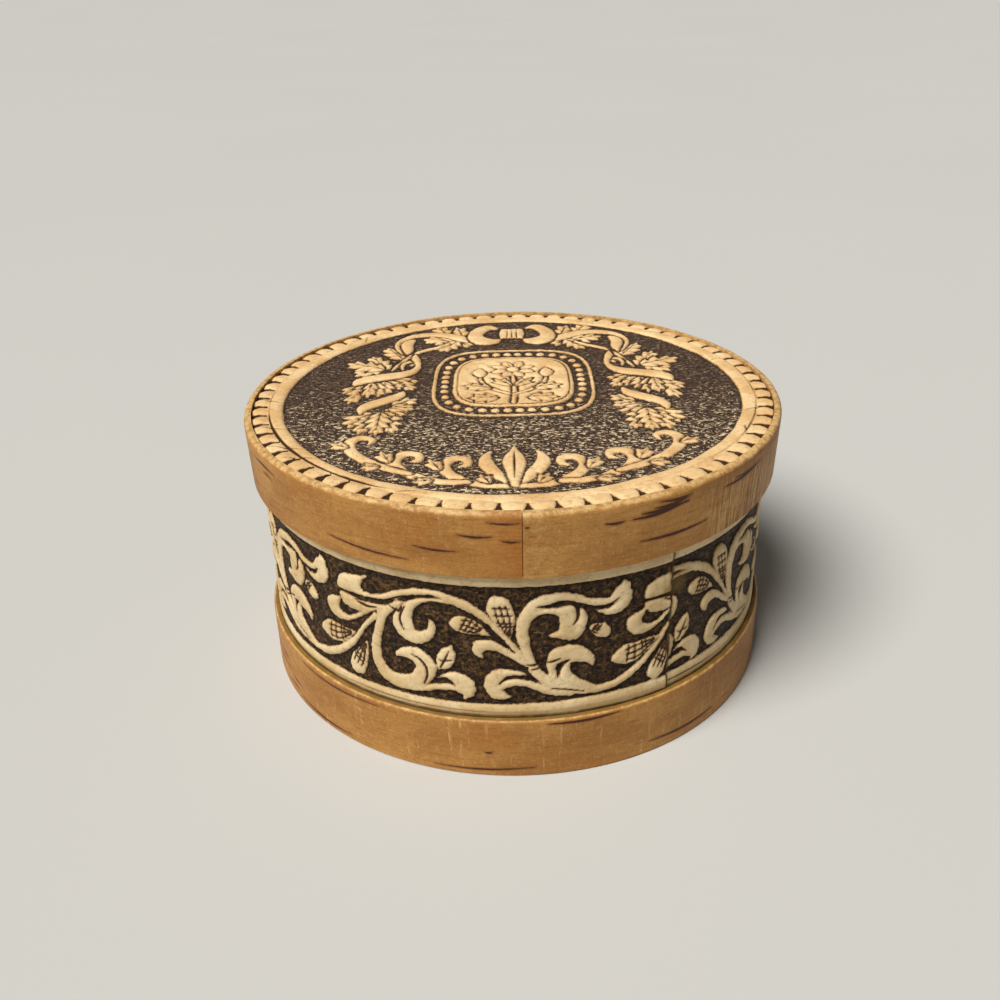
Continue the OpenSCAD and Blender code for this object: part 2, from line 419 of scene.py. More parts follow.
def woundStrip(name, look, box, finish, columns=720):
    # sweeps a strip's section round from its seam, and closes it with its two cut ends
    section = stripSection(look, box[0].z / mm, box[1].z / mm)
    rows, rOut, seed = len(section), look["rOut"], look["seed"]
    base, level, share = section.T[:, :, None]
    lowZ, topZ = level.min(), level.max()
    look = dict(look, ends=(lowZ, topZ))
    along = np.linspace(0, 360 - math.degrees(lap["gap"] / rOut), columns)
    rise = lapRise(along)
    radius = base + share * rise
    high = level + 0 * radius
    # the hand-cut edges wander a little, and the top one is dented
    run = along * 0.9  # about a mm per degree
    wander = 0.14 * softNoise(run, 0, 22, seed) - 0.1 + 0.09 * softNoise(run, 7, 2.4, seed)
    high = np.minimum(high + wander * smooth((high - topZ + 2.5) / 2.5), topZ)
    dents = np.abs(softNoise(run, high * 2, 1.7, seed + 1))
    radius -= 0.1 * dents * smooth((high - topZ + 1.7) / 1.2) * (base > rOut - 0.7)
    points = place(look["seam"] + along, radius, high)
    faces = [f[::-1] for f in gridFaces(rows, columns) + closingFaces(rows, columns)]
    perDegree = math.radians(rOut)
    stripX = along * perDegree + 0 * radius
    bark = np.stack([stripX + look["shift"], high, radius], -1)
    flatTurn, mark = stripMarks(look, along, radius, high)
    mark = np.where((base > rOut - 1.0) | look.get("bothFaces", False), mark, offShape)
    # rubbing on the edges and the fresh end, tint by the seam, scratches, and inside the top glue colour with
    # painted shade where the band stands in the hoop
    rubTop, tintReach, glueAndShade = look["rubTop"], look["tintReach"], look.get("glueAndShadeTop", 0)
    rub = np.maximum(smooth((high - (topZ - rubTop)) / rubTop), 0.8 * smooth(((lowZ + 0.5) - high) / 0.5))
    fresh = look.get("freshEnd", 0) * smooth((13 - along * perDegree) / 12)
    rub = np.maximum(rub, fresh * (0.8 + 0.4 * softNoise(stripX, high, 3, 6)))
    tint = look["tint"] * smooth((tintReach - (360 - along) * perDegree) / tintReach)
    combFrom, combTo = look.get("comb", (-999, -999))
    comb = smooth((flatTurn - combFrom) / 8) * smooth((combTo - flatTurn) / 12) * smooth((topZ - 1 - high) / 3)
    inward = smooth((rOut - 0.25 - radius + rise) / 0.3) * smooth((high - topZ + 0.5) / 0.3)
    # inside the top, next to the band, glue colour and painted shade take the place of the rubbed lip
    tint = np.maximum(tint, glueAndShade * inward)
    rub = rub * (1 - glueAndShade * inward)
    print("wound", name, len(faces), "faces")
    return newPiece(name, points, faces, finish, sharp=42, comb=comb, bark=bark, mark=mark, rub=rub, tint=tint)


# bore and outside, the foot's bevel and the lip's roundness, how much the foot is drawn in, turn
# of the seam, seed of the random marks, and shift of the bark's grain. Then width of the rubbed
# lip, strength and width of the tint at the seam, and how pale the fresh end is
rimHoop = {
    "rIn": 53.5, "rOut": 54.97, "cut": 0.3, "round": 0.9, "drawIn": 0.4, "seam": 1.5, "seed": 3, "shift": 0,
    "rubTop": 1.1, "tint": 0.52, "tintReach": 12, "freshEnd": 0.42,
    # turn and height of both ends, and half width, of each lenticel in view
    "lenticels": [(-36.9, 47.2, -19.4, 46.3, 0.22), (-18.4, 49.3, -10, 49, 0.22), (-10, 52.3, -3.8, 52.1, 0.25),
                  (-4.9, 54.9, 1.2, 54.7, 0.2), (-2.4, 51.4, 1.2, 51.2, 0.22), (1.8, 54.2, 2.6, 54.1, 0.2),
                  (16, 53.1, 19.8, 53, 0.28), (21.2, 52.9, 30.5, 53.3, 0.32), (23, 53.6, 33.2, 53.7, 0.36),
                  (25.6, 54.1, 33, 54.4, 0.3), (26.6, 55.1, 33.8, 54.8, 0.26), (23, 48.2, 38.4, 48.2, 0.3),
                  (43, 53.2, 54, 53.5, 0.28), (46, 53.8, 56, 53.9, 0.24)],
    # the number of others and the turns that they and the scratches lie between
    "scattered": 26, "scatter": (64, 310), "comb": (36, 84),
}
rimPiece = woundStrip("rimHoop", rimHoop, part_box("lid_rim_hoop"), barkFinish("rimBark", plainBark, 0.12))
joinFrame(rimPiece, "lid", ["lid_rim_hoop"])

baseHoop = {
    "rIn": 52.95, "rOut": 54.15, "cut": 0.3, "round": 0.6, "seam": -150, "seed": 8, "shift": 400,
    # glue colour with painted shade inside the top, next to the band
    "rubTop": 0.7, "tint": 0.25, "tintReach": 7, "glueAndShadeTop": 0.9,
    "lenticels": [(-52.5, 11.6, -29, 11.7, 0.2), (-55.2, 1.6, -37.1, 1.3, 0.22), (-16.9, 1.5, 3.5, 2.1, 0.22),
                  (27.9, 2.7, 46.2, 2.4, 0.26), (-6.5, 5.7, -5, 5.8, 0.24), (6, 12.1, 20.5, 12.3, 0.3)],
    "scattered": 30, "scatter": (60, 300),
}
baseBark = barkFinish("baseBark", dict(plainBark, glue=(116, 90, 40)), 0.3)
basePiece = woundStrip("baseHoop", baseHoop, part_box("base_hoop"), baseBark)
joinFrame(basePiece, "box", ["base_hoop"])

innerWall = {
    "rIn": 49.55, "rOut": 51.35, "cut": 0.3, "round": 0.9, "seam": 160, "seed": 14, "shift": 800,
    "stepOuter": 0, "stepInner": -1, "spacing": 0.4,
    "rubTop": 1.2, "tint": 0.1, "tintReach": 6, "scattered": 60, "scatter": (-180, 180), "bothFaces": True,
}
innerPiece = woundStrip("innerWall", innerWall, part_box("inner_wall"), barkFinish("innerBark", plainBark, 0.2))
joinFrame(innerPiece, "box", ["inner_wall"])

stain = {"shade": (142, 98, 54), "cut": (62, 38, 18), "glue": (128, 100, 40)}


def embossedFinish(name, look, wrinkle, highlightLow):
    finish, t = newFinish(name, dict(stain, **look))
    where = t.mark("bark", "Vector")
    fine = t.noise(where, 3.2, 3, 0.6)
    wisps = t.grain(where, 0.5, 3.4, 4, 0.65)
    blots = t.noise(where, 1.1, 4, 0.7)
    mottle = t.noise(where, 1.3, 4, 0.65, 0.3)
    # the sunk ground has fine wrinkles, with painted highlights on their tops that grow towards the front,
    # where the light falls
    share = t.mark("speck")
    wrinkles = t.plus(t.grain(where, *wrinkle, 2.5, 0.6, 0.5), t.times(share, 0.05))
    ridgeHighlight = t.times(t.ramp(wrinkles, highlightLow, highlightLow + 0.05), t.plus(0.4, t.times(share, 0.5)))
    ground = t.layered(
        t.between(t.ramp(mottle, 0.42, 0.62), "groundDark", "ground"),
        (t.ramp(blots, 0.5, 0.64, 0, 0.6), "groundLight"),
        (ridgeHighlight, "speck"),
        # painted shade: the ground darkens at the foot of the raised ornament
        (t.ramp(t.mark("edge"), -0.9, -0.15, 0, 0.55), "groundDark"))
    # the stain has a ragged edge, browns the ornament's flanks a little and fills the cut lines
    edge = t.plus(t.mark("edge"), t.times(t.minus(fine, 0.5), 0.36))
    cut = t.plus(t.mark("cut"), t.times(t.minus(fine, 0.5), 0.12))
    raised = t.ramp(edge, -0.06, 0.08)
    pale = t.layered(
        t.between(t.ramp(t.noise(where, 0.11), 0.35, 0.65), "pale", "paleDark"),
        (t.ramp(blots, 0.5, 0.68, 0, 0.35), "shade"),
        (t.ramp(wisps, 0.54, 0.75, 0, 0.3), "shade"),
        (t.ramp(t.mark("rub"), 0.2, 0.9, 0, 0.6), "pale"),
        (t.ramp(edge, 0.04, 0.3, 0.6, 0), "shade"),
        (t.ramp(cut, -0.25, 0, 0, 0.4), "shade"),
        (t.ramp(cut, -0.06, 0.07), "cut"))
    colour = t.layered(
        t.mix(raised, ground, pale),
        (t.times(t.mark("glue"), 0.7), "glue"),
        # painted shade along the foot and under the seam's lap, with the dark seam line, in the cut colour
        (t.times(t.mark("soot"), 0.85), "cut"))
    roughness = t.put("Mix", {0: raised, 2: 0.62, 3: 0.6}).outputs[0]
    normal = t.bump(t.plus(t.times(blots, 0.8), t.times(fine, 0.4)), 0.6, 0.00022)
    normal = t.bump(t.times(t.minus(1, raised), t.plus(mottle, ridgeHighlight)), 1, 0.0004, normal)
    t.finishWith(colour, roughness, normal, 0.2)
    return finish


# foot is the base hoop's height, lower how much lower than drawn the scroll sits, perDegree mm round the
# band, start the turn at which the drawn repeat starts, repeat its width in degrees
band = {
    "radius": 52.9, "bore": 51.4, "foot": 13.0, "border": 2.8, "relief": 0.6, "lower": 0.28,
    "perDegree": math.radians(52.9), "repeat": 64.3, "start": -2.9, "columns": 980, "rows": 80,
    # turns, counted from the seam's right side round to its left, and the repeat reached there
    "turns": (32, 75, 290, 392), "repeats": (-0.2364, 0.4323, 3.9565, 5.5428),
}
bandLook = {
    "pale": (220, 197, 154), "paleDark": (199, 171, 124), "ground": (64, 42, 20),
    "groundLight": (124, 90, 50), "groundDark": (14, 6, 2), "speck": (150, 118, 74),
}
# one repeat of the scroll: turn in degrees, height over the hoop and half width, in mm
scroll = {
    "curledLeaf": [(-30.2, 26.5, 0.1), (-32.2, 25.5, 0.7), (-34.2, 24.2, 1.7), (-36, 23.5, 1.9),
        (-37.4, 22.7, 1)],
    "leafCheek": [(-36.6, 23.2, 1.4), (-33.4, 23.2, 1.4), (-31.8, 22.5, 0.6), (-30, 22.4, 0.5)],
    "leafFoot": [(-37.4, 20.7, 0.7), (-36, 20, 1.5), (-33.6, 19.6, 1.4), (-31.2, 19.9, 1.05), (-29, 20.5, 0.6),
        (-27, 21.1, 0.3)],
    "arch": [(-32, 22.6, 0.5), (-28, 22.8, 0.6), (-24, 24.2, 0.8), (-20, 25.6, 0.75), (-16, 26, 0.6),
        (-12, 25, 0.95), (-9, 23.8, 0.95), (-6, 21.8, 0.75), (-3, 18.7, 0.6), (0, 15.1, 0.55), (2.1, 12, 0.5)],
    "volute": [(-13, 24.5, 0.5), (-16.5, 24.6, 0.55), (-19.6, 23.5, 0.8), (-21.9, 21.2, 1.5),
        (-22.6, 18.3, 2.1), (-20.8, 16.1, 1.6), (-18.4, 16.4, 1.3), (-16.7, 17.8, 0.95), (-16.5, 19.4, 0.6),
        (-17.2, 20.5, 0.1)],
    "strand": [(-27.6, 19.6, 0.9), (-25.6, 20.9, 0.8), (-23.6, 22.4, 0.5), (-21, 23.4, 0.15)],
    "lowerStem": [(-24.6, 21, 0.4), (-26.6, 20.1, 1), (-27.9, 17.6, 0.95), (-28.7, 15.1, 1),
        (-29.4, 12.3, 1.05), (-29.4, 9.5, 1.2), (-28.3, 6.9, 1.5), (-26, 5.4, 1.6), (-23.4, 5.3, 1.75),
        (-21, 6, 1.8), (-19, 7.8, 1.9), (-18.4, 10, 2.05), (-20, 11.9, 1.8), (-22.3, 12.1, 1.3),
        (-24, 11.6, 0.7), (-24.8, 10.8, 0.1)],
    "tailLower": [(-24, 4.6, 0.9), (-20, 4.7, 0.9), (-17, 5.4, 0.75), (-14.5, 6, 0.75), (-12, 5.9, 0.8),
        (-10.4, 4.9, 0.6)],
    "tailUpper": [(-15.9, 7.7, 0.1), (-14.2, 8.5, 0.55), (-12, 8.3, 1.4), (-10.2, 6.9, 1.8), (-9.7, 5.3, 1.2),
        (-10.4, 4, 0.35)],
    "almond": [(-15.3, 10, 0.4), (-14.3, 11.6, 1.6), (-13.6, 13.2, 1.6), (-12.8, 15.2, 0.2)],
    "hatchedLow": [(-12.2, 20.2, 0.8), (-10.7, 20.2, 1.75), (-8.8, 19.7, 1.6), (-6.6, 18.9, 0.85),
        (-4.9, 17.9, 0.1)],
    "hook": [(-6.6, 13.1, 0.1), (-7.4, 14.4, 0.9), (-7.1, 15.7, 1.35), (-5.4, 16, 1.15), (-3.4, 15.5, 0.85),
        (-1.5, 14.3, 0.7), (0.4, 12.9, 0.65), (2, 11.8, 0.5)],
    "hatchedTall": [(-3.5, 25, 1.5), (-3.1, 23.9, 2.3), (-2.3, 21.9, 2.1), (-1.7, 19.9, 1.2), (-1.2, 18.4, 0.6),
        (-0.9, 17.3, 0.1)],
    "bigStem": [(3.3, 11.8, 0.55), (2.1, 14.4, 0.9), (1.4, 17.2, 1.2), (1.3, 19.9, 1.25), (2.1, 22.2, 1.4),
        (3.8, 24.2, 1.4), (6, 25.3, 1.1), (9, 25.6, 0.9), (12, 25, 0.75), (14.5, 23.9, 0.75), (17, 23.4, 0.8),
        (19, 23.6, 0.85), (20.8, 24.7, 1.5), (21.7, 25.8, 1), (21.2, 27, 0.15)],
    "bigLobe": [(15.4, 22.1, 0.1), (17.3, 21.4, 0.55), (19.4, 21.4, 1), (21.3, 22.5, 1.4), (22, 24.2, 1.2)],
    "innerVolute": [(3, 22.5, 0.9), (5.4, 23, 0.6), (8, 22.7, 0.8), (10, 22.2, 1.7), (10.3, 20.2, 1.8),
        (10, 18.5, 1.6), (8.4, 17.8, 0.95), (7, 17.8, 0.6), (6.1, 18, 0.1)],
    "innerStrip": [(12.5, 23, 0.1), (13, 21.5, 0.85), (12.7, 19.5, 1.15), (11.3, 17.7, 1.35), (9.3, 17.3, 0.8)],
    "smallBud": [(15.4, 18.2, 1), (16.6, 17.6, 1.55), (17.6, 17, 1.2)],
    "dome": [(6.9, 12.2, 1), (8, 13.3, 1.6), (10, 13.6, 1.9), (12, 13.2, 1.8), (13.7, 12.4, 1.35),
        (15, 11.3, 0.75), (15.2, 9.9, 0.1)],
    "domeLeft": [(6.9, 12.2, 0.95), (6.9, 10.4, 0.75), (7.6, 8.6, 0.8), (9, 7.2, 0.9)],
    "domeRight": [(10, 11.8, 0.6), (9.6, 10, 1.05), (10, 8.2, 1.3), (11.5, 6.9, 1.3), (13.6, 5.9, 0.95),
        (16, 5, 0.6)],
    "crossing": [(2.8, 12.8, 0.7), (3.3, 11.2, 0.85), (4.6, 9.4, 0.95), (7, 7.4, 1)],
    "vine": [(2.6, 10.3, 0.5), (4.4, 9, 1), (7, 7, 1.1), (10, 5.8, 1.1), (13.5, 4.9, 0.9), (17, 4.7, 0.85),
        (20.5, 5.3, 0.95), (24, 7, 0.9), (27, 9.2, 0.75), (29.5, 11.6, 0.6), (31.5, 14.3, 0.5),
        (33.4, 16.5, 0.5), (35.4, 18.5, 0.7)],
    "fanUpper": [(2.2, 9.6, 0.35), (0.3, 10, 0.6), (-2, 10.1, 0.8), (-4, 9.2, 1.5), (-5, 7.4, 1.5),
        (-4.1, 5.6, 1.35), (-2.5, 4.8, 0.7), (-0.8, 4.6, 0.1)],
    "fanLower": [(-3.6, 6.7, 0.8), (-2.2, 7.6, 0.9), (0, 8, 0.8), (2.5, 7.4, 0.8), (5, 6.3, 0.9), (8, 5.1, 0.8),
        (11, 4.5, 0.6)],
    "hookLeaf": [(26.8, 20.2, 0.1), (25.2, 19, 0.8), (23.9, 17.6, 1.65), (24.6, 16.2, 1.5), (26.5, 15.6, 0.95),
        (28.5, 15.9, 0.6), (30.3, 16.8, 0.5), (32, 18, 0.45), (34, 19.3, 0.4), (36.5, 20.8, 0.5)],
    "hatchedMid": [(20.4, 10.7, 1.2), (22.5, 11, 2.2), (24.5, 11.2, 2), (27, 12.1, 1.2), (29.5, 13, 0.3)],
    "hatchedFoot": [(29.4, 5.3, 1.9), (30, 6.7, 1.9), (31, 8.5, 1.4), (32, 10.6, 0.8), (32.6, 12, 0.2)],
}
scrollCuts = {
    "curl": [(-38.6, 21.6, 0.22), (-35, 21.55, 0.28), (-31, 21.5, 0.3), (-28, 21.8, 0.25), (-26, 22.3, 0.15)],
    "curlInner": [(-34, 20.9, 0.05), (-32, 20.3, 0.22), (-30, 20.2, 0.2), (-28.3, 20.6, 0.1)],
    "arch": [(-26, 22.6, 0.15), (-23, 24, 0.2), (-20, 24.6, 0.22), (-17, 25, 0.18), (-14.5, 25.2, 0.1)],
    "volute": [(-21.9, 22.3, 0.1), (-23, 20.2, 0.2), (-23, 18.6, 0.2), (-22.3, 17.2, 0.1)],
    "strand": [(-25.6, 21.9, 0.1), (-23.5, 20.9, 0.2), (-22.6, 22.2, 0.15)],
    "lowerVolute": [(-21.2, 12.2, 0.1), (-19.3, 11.4, 0.2), (-18.1, 9.8, 0.22), (-18, 8, 0.2),
        (-18.8, 6, 0.12)],
    "tail": [(-16.4, 7.3, 0.15), (-14.2, 7.5, 0.25), (-12.3, 6.5, 0.1)],
    "fan": [(-3.5, 7.5, 0.1), (-2.3, 8.6, 0.22), (0, 9.1, 0.2), (2.3, 9, 0.12)],
    "wedge": [(1.5, 10.9, 0.3), (2.7, 9.3, 0.32), (4.9, 7.4, 0.08)],
    "cross": [(1.9, 11.8, 0.1), (3.4, 11.7, 0.2), (5, 12, 0.1)],
    "crossLow": [(2.8, 10.7, 0.1), (4, 10.9, 0.16), (5, 11.3, 0.08)],
    "domeFoot": [(5.9, 12.1, 0.1), (7.2, 12.3, 0.2), (8.6, 12.8, 0.1)],
    "big": [(14.3, 22.5, 0.1), (17, 22.4, 0.2), (19, 22.9, 0.2), (20.3, 23.9, 0.08)],
    "inner": [(4.2, 24.1, 0.15), (6, 23.9, 0.25), (8.5, 24.1, 0.2), (10, 24.6, 0.12), (11.3, 23.8, 0.18),
        (12, 22.3, 0.28), (11.9, 20.8, 0.22), (11.1, 19.8, 0.08)],
    "dome": [(10.4, 12.2, 0.12), (9.1, 11.6, 0.4), (8.3, 10.2, 0.35), (8.1, 8.6, 0.1)],
    "vine": [(7, 6.3, 0.12), (10, 5.7, 0.15), (13.5, 4.8, 0.1)],
    "almond": [(-15.2, 10.2, 0.14), (-14.1, 12.2, 0.18), (-13.2, 14.2, 0.06)],
    "almondLeft": [(-14.4, 11.6, 0.1), (-15.3, 12.1, 0.14)],
    "almondRight": [(-14.2, 11.9, 0.1), (-12.9, 12.2, 0.14)],
}
# the lines cut in a seed head: spine with its half width, and number of rungs
seedHeads = {
    "tall": ([(-2.9, 24.3, 1.2), (-2.3, 22, 1.3), (-1.7, 19.8, 0.9), (-1.2, 18, 0.3)], 5),
    "low": ([(-10.6, 20.3, 1.2), (-8.8, 19.9, 1.3), (-6.8, 19, 0.7)], 4),
    "mid": ([(22.2, 11.1, 1.4), (24.6, 11.4, 1.6), (27, 12.2, 0.9), (28.6, 12.8, 0.3)], 5),
    "foot": ([(29.6, 6.2, 1.2), (30.4, 7.9, 1.2), (31.4, 10, 0.7), (32.2, 11.5, 0.3)], 4),
    "small": ([(15, 18.4, 0.8), (16.4, 17.8, 0.9)], 2),
}


def scrollSheet():
    perDegree = band["perDegree"]
    wide, left = band["repeat"] * perDegree, band["start"] * perDegree
    sheet = newSheet(left - 0.4, left + wide + 0.4, 0, 31, 0.18)

    def copies(points):
        # a shape in this repeat and in its neighbours, where it reaches the sheet
        for copy in (-1, 0, 1):
            placed = [(a * perDegree + copy * wide, high, half) for a, high, half in points]
            xs = [x for x, high, half in placed]
            if max(xs) > left - 4 and min(xs) < left + wide + 4:
                yield placed

    for points in scroll.values():
        for placed in copies(points):
            raiseStroke(sheet, placed)
    for points in scrollCuts.values():
        for placed in copies(points):
            cutStroke(sheet, placed, 1.0)
    for spine, rungs in seedHeads.values():
        for placed in copies(spine):
            ladder(sheet, placed, rungs)
    return sheet


def makeBand(top, finish):
    b = SimpleNamespace(**band)
    sheet = scrollSheet()
    print("drew the scroll", sheet["edge"].shape)
    high, startTurn, endTurn = top - b.foot, b.turns[0], b.turns[-1]
    rows = np.concatenate([[-b.foot, -0.05], np.linspace(0, 2, 7), np.linspace(2.3, high - 2.3, b.rows),
                           np.linspace(high - 2, high - 0.3, 6), [high]])
    angle = np.linspace(startTurn + math.degrees(lap["gap"] / b.radius), endTurn, b.columns)
    turned, above = np.meshgrid(angle, rows)  # above is the height over the hoop

    def hills(cell, seed, tall=1.0):
        return softNoise(turned * b.perDegree, above * tall, cell, seed)

    # the ornament, both borders with a wavy inner edge, a pressed line and a crack
    x = b.start * b.perDegree + (np.interp(turned, b.turns, b.repeats) % 1) * (b.repeat * b.perDegree)
    edge, cut = readSheet(sheet, x, np.clip(above + b.lower, 0, 30))
    ragged = 0.3 * hills(0.6, 21) + 0.16 * hills(2.2, 22)
    lean = 0.5 * np.sin(np.radians(turned)) + 0.3 * hills(14, 23, 0)
    borders = np.maximum(b.border - above + lean, above - high + b.border + 0.1)
    edge = np.maximum(edge + ragged, borders + ragged * 0.7)
    pressed = np.minimum(0.05 + 0.2 * hills(17, 29, 0), 0.12)
    ribFoot = 1.15 + 0.5 * lean
    cut = np.maximum(cut + 0.05, pressed - np.abs(above - ribFoot))
    crack = 0.18 - np.abs(turned + 2.6 - 0.1 * (high - above)) * b.perDegree
    cut = np.maximum(cut, np.where(above > high - b.border, crack, offShape))
    edge = np.where(above < 0, 1.5, edge)
    height = carvedHeight(edge, cut)
    ground = 0.2 * hills(0.9, 24, 1.6) + 0.14 * hills(2.6, 25)
    surface = 0.08 * hills(1.1, 26) + 0.05 * hills(0.8, 27, 2)
    sunk = b.relief * (1 - height) - ground * (1 - height) * 0.5 + np.abs(surface) * height
    radius = b.radius - np.maximum(sunk, 0) + lapRise(endTurn - turned) * (above >= 0)
    radius = np.where(above > high - 0.2, radius - 0.25, radius)

    # glue smeared at the seam, an olive tint along the foot, painted shade in the corner along the foot and
    # under the seam's lap, and a dark line at the seam
    toSeam, fromSeam = (endTurn - turned) * b.perDegree, (turned - startTurn) * b.perDegree
    smear = hills(1.2, 31, 0.5)
    glue = smooth((1.5 + 1.6 * smear - toSeam) / 0.9)
    glue *= smooth((above - 20.5) / 2) * smooth((27.6 - above) / 1.5)
    patch = smooth((5.5 + 2 * smear - fromSeam) / 2)
    patch *= smooth((above - 19.5) / 2) * smooth((26 - above) / 1.5)
    olive = smooth((ribFoot + 0.1 - above) / 0.4) * (0.75 + 0.4 * hills(6, 32)) * (above > -1)
    besideSeam = smooth((1.6 + 0.8 * smear - fromSeam) / 1.2) * (above > 0)
    glue = np.maximum.reduce([glue, 0.6 * patch, olive, 0.5 * besideSeam])
    # painted shade in the corner along the foot, and under the lapped end beside the seam with a dark line at
    # its edge
    soot = smooth((0.65 + 0.25 * smear - above) / 0.4) * (above > -1)
    soot = np.maximum(soot, 0.95 * ((fromSeam < 0.6) | (toSeam < 0.1)) * (above > 0) * (above < high))
    rub = 0.3 * smooth((0.6 - toSeam) / 0.4) * (above > 0)

    def closed(values, start, end):
        # with the rows at the foot and the top of the bore
        row = np.ones((1, b.columns))
        return np.vstack([row * start, values, row * end])

    radius, z = closed(radius, b.bore, b.bore), closed(b.foot + above, 0, top)
    count, wide = len(radius), b.columns - 1
    faces = gridFaces(count, b.columns)
    rounded = faces[wide:-wide]
    faces = rounded + faces[:wide] + faces[-wide:] + closingFaces(count, b.columns)
    print("embossed band", len(faces), "faces")
    return newPiece("embossedBand", place(angle, radius, z), faces, finish, flat=len(rounded),
                    bark=np.stack([angle * b.perDegree + 0 * radius, z, radius], -1),
                    edge=closed(np.clip(edge, -1.5, 1.5), 1.5, 1.5), cut=closed(np.clip(cut, -1, 1), -1, -1),
                    glue=closed(glue, 0, 0), rub=closed(rub, 0.6, 0.6), soot=closed(soot, 0, 0),
                    speck=0 * radius)


bandPiece = makeBand(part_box("embossed_band")[1].z / mm,
                     embossedFinish("embossedBandBark", bandLook, (0.5, 1.2), 0.64))
joinFrame(bandPiece, "box", ["embossed_band"])

# heights of both faces, depth of the relief, radii of the sunk ground, of the incised line with
# its half width, and of the edge by the hoop. spread is how many degrees the notches are shifted
# at most, crown the rope's sag, step the distance of the rings, mirror the garland's middle
panel = {
    "top": 56.2, "under": 54.8, "relief": 0.6, "ground": 47.25, "line": 50.15, "lineHalf": 0.27,
    "edge": 53.45, "notches": 69, "spread": 3.2, "crown": 0.3, "step": 0.4, "mirror": 0.3,
}
lidLook = {
    "pale": (240, 206, 154), "paleDark": (220, 178, 122), "ground": (86, 66, 54),
    "groundLight": (116, 90, 68), "groundDark": (50, 37, 30), "speck": (240, 212, 172),
}
# right half of the garland and the bow: x, y and half width. The left half mirrors it. The ribbons
# are drawn in this order, each over those before it
ribbons = {
    "stem": [(15.3, 31.6, 0.5), (18, 29, 0.6), (20.6, 27.3, 0.6), (22.6, 25.2, 0.55), (24.1, 22.5, 0.5),
        (25.4, 19.3, 0.5), (26.6, 16, 0.45), (27.1, 14.2, 0.3)],
    "curl": [(24.7, 15, 0.3), (25, 17.4, 0.5), (24.3, 19.3, 0.5), (22.9, 19.7, 0.4), (22.3, 18.4, 0.35),
        (23.2, 17.4, 0.4)],
    "fold": [(23.6, 34.9, 0.4), (24.9, 33.3, 1.5), (25.2, 31, 1.6), (24.8, 28.5, 1.5), (24.6, 26.2, 0.9),
        (25, 24.2, 0.1)],
    "overLeaf": [(10.8, 33.8, 1.3), (13, 35.8, 1.7), (16, 37.8, 1.6), (19.5, 38.7, 1.4), (23, 38, 1.2),
        (25.8, 36, 0.9), (27.3, 33, 0.6), (27.3, 30, 0.55), (26.4, 27, 0.4), (25.4, 24.6, 0.15)],
    "upperTurn": [(22.6, 24.6, 0.25), (22.3, 22, 1), (21.6, 19, 0.65), (21.5, 16, 0.7), (22.6, 13.3, 1.2),
        (25, 11.5, 1.7), (28.5, 10.3, 1.8), (31.6, 9.1, 1.9), (33.5, 7.6, 1.5), (34.3, 5.7, 0.4)],
    "lowerTurn": [(23.4, 1.2, 0.5), (24.3, -1, 1.3), (26.8, -3.4, 1.6), (29.4, -5.4, 1.6), (31, -7.6, 1.2),
        (31.2, -10.4, 0.3)],
    "bowLoop": [(4.2, 42.6, 0.7), (6.2, 43.4, 1.5), (8.1, 41, 1.8), (9, 38, 1.8), (8.6, 35.2, 2.1),
        (6.9, 33, 2.4), (4.8, 32.8, 1.6), (3.3, 34, 0.4)],
}
# leaves of the garland: base, tip, width and number of lobes
leaves = [
    (12.2, 37.5, 14, 44.2, 4.4, 2), (16, 39, 18.8, 44.2, 4.6, 2), (13, 33, 21.8, 35.2, 6, 3),
    (12.5, 34, 10.6, 28.8, 4, 2), (13, 33.4, 17.4, 26.2, 4.6, 3), (25.2, 21.6, 29.8, 29.9, 4.4, 3),
    (28.3, 14.5, 32.6, 24.3, 4.6, 3), (29.5, 15.6, 35.2, 11, 4.6, 2), (28.8, 15, 37.8, 19.4, 5.6, 3),
    (24.8, 9, 20.6, 5.8, 3.4, 2), (25.6, 8.6, 21.2, 2, 3.6, 3), (27.4, 8, 24, 2.6, 3.2, 2),
    (31.4, 6.6, 36.6, 0.8, 3.8, 2), (28, 7.6, 27, 0.2, 3.6, 3), (31, 6.6, 34.6, -5.2, 4.2, 3),
    (29.6, 7.2, 28.4, -1.8, 3, 2), (30.6, 7, 30.8, -1.6, 3, 2), (25.2, -6.2, 20, -2.6, 3.8, 2),
    (25.2, -6.6, 20.2, -8.4, 3.8, 2), (26, -7.6, 22.8, -15.6, 5, 3), (28.6, -9.8, 32.8, -17.2, 6.2, 3),
    (28, -10.4, 30.6, -20.6, 4.4, 3), (26.4, -9, 23.6, -20.4, 4.8, 4), (27, -9.6, 27, -21.2, 4.6, 4),
]
# scrolls and leaves along the near edge, in the same way
flourish = {
    "sidePetal": [(1.2, -42.6, 0.7), (3.6, -38.6, 1.4), (5.4, -34.4, 1.5), (5.3, -31, 0.8), (4.2, -28.8, 0.1)],
    "firstScroll": [(1, -43.7, 0.7), (5, -43.3, 0.95), (9, -41.4, 1.2), (12, -38.2, 1.25), (13, -34.8, 1.25),
        (11.4, -32.2, 1.2), (9, -32.6, 1), (8.8, -34.8, 0.8), (10.2, -35.6, 0.35)],
    "secondScroll": [(8.6, -41.8, 0.8), (12.6, -41.7, 0.95), (16.8, -39.9, 1.15), (20.6, -36.6, 1.25),
        (22.2, -32.8, 1.3), (20.6, -29.8, 1.2), (18, -30.2, 1), (17.8, -32.5, 0.75), (19.2, -33.2, 0.3)],
    "thirdScroll": [(19, -38, 0.7), (23.4, -35.7, 1), (27.8, -32, 1.2), (30.8, -27.8, 1.3), (31.3, -24, 1.25),
        (29.3, -22, 1), (27.2, -23.2, 0.8), (27.7, -25.2, 0.3)],
}
